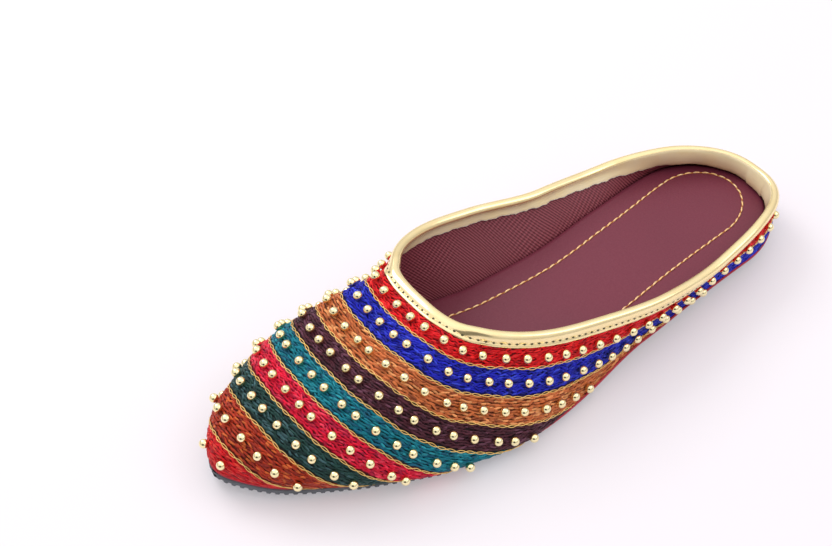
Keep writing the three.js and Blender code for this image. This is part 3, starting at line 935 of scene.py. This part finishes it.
# Sewing row in the groove: start, length as a share of the pitch and thickness
SEWING_PITCH = 2.7
SEWING_HEIGHT = 0.62
SEWING_TIP = 0.06
SEWING_ROWS = [
    ("binding_holes_painted_shade", HOLE_PAINTED_SHADE, 0, 0.44, 0.4),
    ("binding_stitches", FOIL, 1, 0.5, 0.2),
]


def collar_frames(count):
    """Evenly spaced phases round the collar with the normal and climb at each."""
    phases = np.arange(skin.count + 1) / skin.count
    edge = skin.grid[:, 0]
    travelled = travel(np.concatenate([edge, edge[:1]]))
    phase = np.interp(np.arange(count) / count * travelled[-1], travelled, phases)
    normal = unit(skin.look(skin.normal, phase, 0.0))
    climb = unit(skin.point(phase, 0.0) - skin.point(phase, 0.6))
    return phase, normal, climb, travelled[-1]


def make_binding():
    rows = 720
    phase, normal, climb, _ = collar_frames(rows)
    around = TURN * np.arange(rows) / rows
    fray = EDGE_FRAY * sum(share * np.sin(pace * around + start) for pace, share, start in FRAY_WAVES)
    fray += rng.normal(0, 0.25 * EDGE_FRAY, rows)
    ripple = FOLD_RIPPLE * np.sin(23 * around + 1.4 * np.sin(5 * around)) * np.sin(3 * around) ** 2
    ripple = np.where((phase > LAP_START) & (phase < LAP_END), LAP_HEIGHT, ripple)
    columns = [skin.point(phase, distance, height) for distance, height in OUTER_PROFILE]
    middle = skin.point(phase, 0.0, -WALL / 2)
    for angle in np.radians(ROLL_ANGLES):
        out = normal * (ROLL_WIDTH * ROLL_RADIUS * math.sin(angle))
        columns.append(middle + out + climb * (ROLL_RADIUS * math.cos(angle)))
    for distance, height in INNER_PROFILE:
        loose = fray * np.clip((distance - 3) / 2, 0, 1)
        wave = ripple * np.clip((distance - 1) / 3, 0, 1)
        columns.append(skin.point(phase, distance + loose, -WALL - height - wave))
    columns += [
        skin.point(phase, 2.5, -WALL - BINDING_BACK),
        skin.point(phase, 0.0, -WALL - BINDING_BACK) + climb * BINDING_BACK,
        skin.point(phase, 0.0, BINDING_BACK) + climb * BINDING_BACK,
        skin.point(phase, 2.0, BINDING_BACK),
    ]
    rings = np.stack(columns, axis=1)
    count = rings.shape[1]
    faces = grid_faces(rows, count, close_rows=True, close_columns=True)
    column_of = faces[:, 0] % count
    fold_start = len(OUTER_PROFILE) + len(ROLL_ANGLES) - 1
    fold_end = fold_start + len(INNER_PROFILE) - 1
    foil, raw_and_highlight, fold_painted_light = range(3)
    # The inner flange takes the lighter, nearly matte foil copy: painted light on a face in shade
    slots = np.where((column_of >= fold_start) & (column_of < fold_end), fold_painted_light, foil)
    # White edges: the inner flange's cut edge, and the outer flange's edge, where the white is also a
    # painted highlight
    slots[(column_of <= 1) | (column_of == fold_end - 1) | (column_of == fold_end)] = raw_and_highlight
    piece = make_mesh(
        "collar_foil", rings.reshape(-1, 3), [faces], [FOIL, RAW_EDGE_AND_HIGHLIGHT, FOLD_PAINTED_LIGHT], slots=slots,
    )
    dress(piece, "collar_binding")


def make_binding_stitches():
    """Stitch holes along the flange's groove, as dark pieces of painted shade, with a sunk stitch
    between two of them.
    """
    count = round(collar_frames(8)[-1] / SEWING_PITCH)
    for name, material, start, share, thickness in SEWING_ROWS:
        phase = collar_frames(2 * count)[0][start::2]
        frames = skin.frames(phase, GROOVE_PLACE, SEWING_HEIGHT)
        t = np.linspace(0, 1, 6)
        swell = np.sin(math.pi * t)
        centres = np.stack([(t - 0.5) * share * SEWING_PITCH, 0 * t, 0.05 * swell], axis=1)
        template, faces = tube_template(centres, SEWING_TIP + thickness * swell, 6)
        points, blocks = scatter(template * [1, 1, 0.6], faces, frames)
        dress(make_mesh(name, points, blocks, [material]))


# Insole rim from the top down: height as a share of the thickness, and how far set in
INSOLE_RIM = [(1.0, 0.7), (0.93, 0.2), (0.8, 0.0), (0.0, 0.0)]


def wall_lean(phase, heights):
    """How far the wall's inner face leans out from the bed's edge at each height."""
    edge = bed_point(phase)
    outward = outline(phase, 1) - edge
    length = skin.section_length(phase)
    share = np.linspace(1, 0.4, 80)
    inner = skin.point(phase[:, None], share[None] * length[:, None], -WALL)
    out = ((inner[..., :2] - edge[:, None]) * outward[:, None]).sum(axis=2)
    return np.array([np.interp(heights[i], inner[i, :, 2], out[i]) for i in range(len(phase))])


def insole_level(y, lift):
    """Height inside the insole: lift 0 is its underside, 1 its top."""
    share = share_of(y)
    return seat_height(share) + lift * (insole_top(share) - seat_height(share))


def insole_sheet(rows, columns, lift, inset):
    """Points across the insole from its one long side to the other, at one lift."""
    phase = (np.arange(rows) + 1) / (2 * (rows + 1))
    sides = []
    for at in (phase, -phase):
        height = insole_level(bed_point(at)[:, 1], lift)
        lean = wall_lean(at, height) if lift else np.zeros(rows)
        sides.append(outline(at, lean - INSOLE_CLEARANCE - inset)[:, None])
    t = np.linspace(0, 1, columns)[None, :, None]
    plan = (sides[0] * (1 - t) + sides[1] * t).reshape(-1, 2)
    return raised(plan, insole_level(plan[:, 1], lift))


def make_insole():
    """Padded sheet with a soft rounded rim, its top edge just inside the wall."""
    rows, columns = 240, 40
    sheets = [insole_sheet(rows, columns, lift, inset) for lift, inset in INSOLE_RIM]
    top = sheets[0]
    bottom = raised(top[:, :2], insole_level(top[:, 1], 0.0))
    border = np.concatenate([
        np.arange(columns), columns * np.arange(1, rows) + columns - 1,
        rows * columns - 2 - np.arange(columns - 1), columns * np.arange(rows - 2, 0, -1),
    ])
    points = np.concatenate([top] + [sheet[border] for sheet in sheets[1:]] + [bottom])
    size = len(border)
    loops = [border]
    for level in range(len(sheets) - 1):
        loops.append(len(top) + level * size + np.arange(size))
    below = len(points) - len(bottom)
    loops.append(border + below)
    faces = [grid_faces(rows, columns), grid_faces(rows, columns)[:, ::-1] + below]
    for loop, after in zip(loops, loops[1:]):
        faces.append(np.stack([loop, np.roll(loop, -1), np.roll(after, -1), after], axis=1))
    piece = make_mesh("insole_sheet", points, [np.concatenate(faces)], [INSOLE])
    dress(piece, "insole")


# Insole seam: a thin cord set in from the edge, with bright dashes over it
SEAM_REACH = 0.36
SEAM_INSET = 9.0
SEAM_CORD_RADIUS = 0.28
SEAM_CORD_LIFT = 0.02
SEAM_JITTER = 0.2
SEAM_PITCH = 3.5
SEAM_DASH = 3.3
SEAM_TIP = 0.12
SEAM_BELLY = 0.26
SEAM_ARCH = 0.38
SEAM_DIP = 0.1
FOOT_CORD_RADIUS = 0.5


def make_flat_cord(name, plan, height, radius, sides, material):
    """Thin cord along a plan line, at a height for each of its points."""
    line = raised(plan, height)
    points, blocks = sweep([(line, np.tile(UP, (len(line), 1)))], radius, sides)
    dress(make_mesh(name, points, blocks, [material]))


def make_insole_seam():
    """Gold seam on the insole, open under the vamp."""
    phase = np.linspace(-SEAM_REACH, SEAM_REACH, 1600)
    line = outline(phase, -SEAM_INSET)
    travelled = travel(line)
    centres = np.arange(SEAM_PITCH, travelled[-1] - SEAM_PITCH, SEAM_PITCH)
    centres = centres + rng.uniform(-SEAM_JITTER, SEAM_JITTER, len(centres))
    x, y = (np.interp(centres, travelled, line[:, axis]) for axis in (0, 1))
    ahead_x, ahead_y = (np.interp(centres + 0.5, travelled, line[:, axis]) for axis in (0, 1))
    slope = insole_top(share_of(y + 0.5)) - insole_top(share_of(y - 0.5))
    along = unit(np.stack([ahead_x - x, ahead_y - y, slope * (ahead_y - y)], axis=1))
    normal = unit(np.stack([np.zeros(len(x)), -slope, np.ones(len(x))], axis=1))
    centre = np.stack([x, y, insole_top(share_of(y))], axis=1)
    frames = (centre, along, unit(np.cross(normal, along)), normal)
    t = np.linspace(0, 1, 7)
    arch = np.sin(math.pi * t) ** 0.6
    strand = np.stack([(t - 0.5) * SEAM_DASH, 0 * t, SEAM_ARCH * arch - SEAM_DIP], axis=1)
    template, faces = tube_template(strand, SEAM_TIP + SEAM_BELLY * arch, 6)
    turn = rng.normal(0.1, 0.06, len(x))
    points, blocks = scatter(template, faces, frames, turn=turn)
    dress(make_mesh("insole_seam", points, blocks, [SEAM]))
    height = insole_top(share_of(line[:, 1])) + SEAM_CORD_LIFT
    make_flat_cord("insole_seam_cord", line, height, SEAM_CORD_RADIUS, 6, SEAM_CORD)


def make_foot_cord():
    """Thin dyed edge that shows between the embroidery and the sole."""
    phase = np.arange(1201) / 1200
    edge = outline(phase % 1, FOOT_INSET + FOOT_CORD_RADIUS)
    height = seat_height(share_of(edge[:, 1])) + FOOT_CORD_RADIUS
    make_flat_cord("foot_cord", edge, height, FOOT_CORD_RADIUS, 8, FOOT_CORD)


# Sole edge rows from the top down: 1 for a height from the top face or 0 from the
# underside, that height, how far set in, and share of a rib's depth
SOLE_EDGE = [
    (1, 0.0, 0.5, 0.0), (1, -0.25, 0.05, 0.0), (1, -1.0, 0.0, 0.0), (1, -1.25, 0.0, 0.9),
    (0, 0.6, 0.0, 1.0), (0, 0.15, 0.15, 1.0), (0, 0.0, 0.6, 1.0),
]
POINTS_PER_RIB = 8

# Heel block rows from the top down: height and share of the way to its middle
HEEL_EDGE = [(HEEL_LIFT + 0.5, 0.0), (0.5, 0.0), (0.12, 0.006), (0.0, 0.02), (0.0, 1.0)]


def sole_loop(count):
    """Plan points evenly spaced round the sole's edge with their outward directions."""
    fine = np.arange(4000) / 4000
    stand = FOOT_INSET + edge_stand(share_of(bed_point(fine)[:, 1]))
    loop = outline(fine, stand)
    closed = np.concatenate([loop, loop[:1]])
    travelled = travel(closed)
    wanted = np.arange(count) / count * travelled[-1]
    points = np.stack([np.interp(wanted, travelled, closed[:, axis]) for axis in (0, 1)], axis=1)
    along = unit(np.roll(points, -2, axis=0) - np.roll(points, 2, axis=0))
    outward = np.stack([-along[:, 1], along[:, 0]], axis=1)
    return points, outward, travelled[-1]


def make_outsole():
    """Plain lip over a ribbed edge, closed above and below toward the middle line."""
    ribs = round(sole_loop(400)[-1] / RIB_PITCH)
    count = ribs * POINTS_PER_RIB
    points, outward, _ = sole_loop(count)
    wave = (np.arange(count) % POINTS_PER_RIB) / POINTS_PER_RIB
    notch = np.where(wave < 0.5, 0.0, RIB_DEPTH)
    share = share_of(points[:, 1])
    low = underside(share)
    middle = BALL_WIDTH * bed_centre(share)

    def closing(part, height):
        x = points[:, 0] * (1 - part) + middle * part
        return np.stack([x, points[:, 1], low + height], axis=1)

    rings = [closing(0.98, SOLE_THICKNESS), closing(0.5, SOLE_THICKNESS)]
    for from_top, height, inset, rib_share in SOLE_EDGE:
        plan = points - outward * (inset + rib_share * notch)[:, None]
        rings.append(raised(plan, low + from_top * SOLE_THICKNESS + height))
    rings += [closing(0.5, 0.0), closing(0.98, 0.0)]
    faces = grid_faces(len(rings), count, close_columns=True)
    piece = make_mesh("sole_rubber", np.concatenate(rings), [faces], [RUBBER], smooth=False)
    dress(piece, "outsole")


def make_heel():
    """Flat heel block under the back of the sole."""
    rows = 60
    share = (HEEL_BLOCK_LENGTH / BED_LENGTH) * (np.arange(rows) + 0.5) / rows
    phase = np.arccos(1 - 2 * share) / TURN
    inset = FOOT_INSET - HEEL_INSET
    loop = np.concatenate([outline(phase, inset), outline(-phase, inset)[::-1]])
    centre = loop.mean(axis=0)
    rings = []
    for z, part in HEEL_EDGE:
        rings.append(raised(loop + (centre - loop) * part, z))
    faces = grid_faces(len(rings), len(loop), close_columns=True)
    piece = make_mesh("heel_lift", np.concatenate(rings), [faces], [RUBBER], smooth=False)
    dress(piece)


make_upper()
for band in range(len(BANDS)):
    make_embroidery(band)
    make_beads(band)
for line_row in range(1, len(BANDS)):
    make_gold_chain(line_row)
make_binding()
make_binding_stitches()
make_insole()
make_insole_seam()
make_foot_cord()
make_outsole()
make_heel()


# Camera: solved from the photo's lines, in the last's own axes
CAMERA_AZIMUTH = 53.7
CAMERA_ELEVATION = 46.35
CAMERA_ROLL = -1.92
CAMERA_DISTANCE = 607.1
CAMERA_TARGET = np.array([-30.9, -146.26, 25.0])
FOCAL_PIXELS = 1610.1
IMAGE_WIDTH = 832


def make_camera():
    azimuth, elevation, roll = map(math.radians, (CAMERA_AZIMUTH, CAMERA_ELEVATION, CAMERA_ROLL))
    back = np.array([
        math.sin(azimuth) * math.cos(elevation),
        -math.cos(azimuth) * math.cos(elevation),
        math.sin(elevation),
    ])
    right = np.array([math.cos(azimuth), math.sin(azimuth), 0.0])
    up = np.cross(back, right)
    turned_right = math.cos(roll) * right + math.sin(roll) * up
    turned_up = -math.sin(roll) * right + math.cos(roll) * up
    place = (CAMERA_TARGET + SHIFT + back * CAMERA_DISTANCE) * MM
    data = bpy.data.cameras.new("camera")
    data.sensor_width = 36
    data.lens = FOCAL_PIXELS * data.sensor_width / IMAGE_WIDTH
    camera = bpy.data.objects.new("camera", data)
    turn = Matrix((turned_right, turned_up, back)).transposed().to_4x4()
    camera.matrix_world = Matrix.Translation(Vector(place)) @ turn
    bpy.context.scene.collection.objects.link(camera)
    bpy.context.scene.camera = camera


# Floor, world and lights: place and size in metres, power in watts
SOFTBOXES = [
    ((-0.7, -0.1, 0.75), 0.5, 3.2),
    ((0.5, 0.6, 0.8), 0.5, 1.2),
]
FLOOR_HALF = 3.0
FLOOR_GLOW = 0.26
DOME = (0.4, 1.3)
DARK_PATCH = (0.57, -0.72, 0.4)
DARK_PATCH_EDGE = (0.906, 0.94)


def floor_material():
    """White sweep, lit so evenly that shadows on it stay faint."""
    finish = Finish("pale_floor", Roughness=0.7, Emission_Strength=FLOOR_GLOW)
    finish.shader.inputs["Emission Color"].default_value = colour(255, 252, 255)
    cloud = finish.noise(3.0, 2.0)
    finish.link("Base Color", finish.mix(cloud, colour(205, 199, 205), colour(211, 206, 210)))
    return finish.material


def studio_world():
    """Soft dome, bright overhead and dim at the horizon, with one dark patch."""
    world = bpy.data.worlds.new("studio")
    sky = Tree(world)
    direction = sky.nodes.new("ShaderNodeTexCoord").outputs["Generated"]
    split = sky.nodes.new("ShaderNodeSeparateXYZ")
    sky.links.new(direction, split.inputs[0])
    dome = sky.ramp(split.outputs["Z"], 0.0, 1.0, *DOME)
    aim = sky.nodes.new("ShaderNodeVectorMath")
    aim.operation = "DOT_PRODUCT"
    sky.links.new(direction, aim.inputs[0])
    aim.inputs[1].default_value = Vector(DARK_PATCH).normalized()
    open_sky = sky.ramp(aim.outputs["Value"], *DARK_PATCH_EDGE, 1.0, 0.05)
    background = sky.nodes["Background"]
    background.inputs["Color"].default_value = (1.0, 0.99, 1.0, 1.0)
    sky.links.new(sky.calculate("MULTIPLY", dome, open_sky), background.inputs["Strength"])
    return world


def make_stage():
    corners = [(-1, -1, 0), (1, -1, 0), (1, 1, 0), (-1, 1, 0)]
    mesh = bpy.data.meshes.new("floor")
    mesh.from_pydata([Vector(corner) * FLOOR_HALF for corner in corners], [], [(0, 1, 2, 3)])
    mesh.materials.append(floor_material())
    floor = bpy.data.objects.new("floor", mesh)
    bpy.context.scene.collection.objects.link(floor)
    bpy.context.scene.world = studio_world()
    for number, (place, size, power) in enumerate(SOFTBOXES):
        data = bpy.data.lights.new(f"softbox_{number}", "AREA")
        data.shape = "SQUARE"
        data.size = size
        data.energy = power
        light = bpy.data.objects.new(f"softbox_{number}", data)
        light.location = place
        light.rotation_euler = (-Vector(place)).to_track_quat("-Z", "Y").to_euler()
        bpy.context.scene.collection.objects.link(light)


make_camera()
make_stage()
bpy.context.scene.view_settings.view_transform = "Standard"
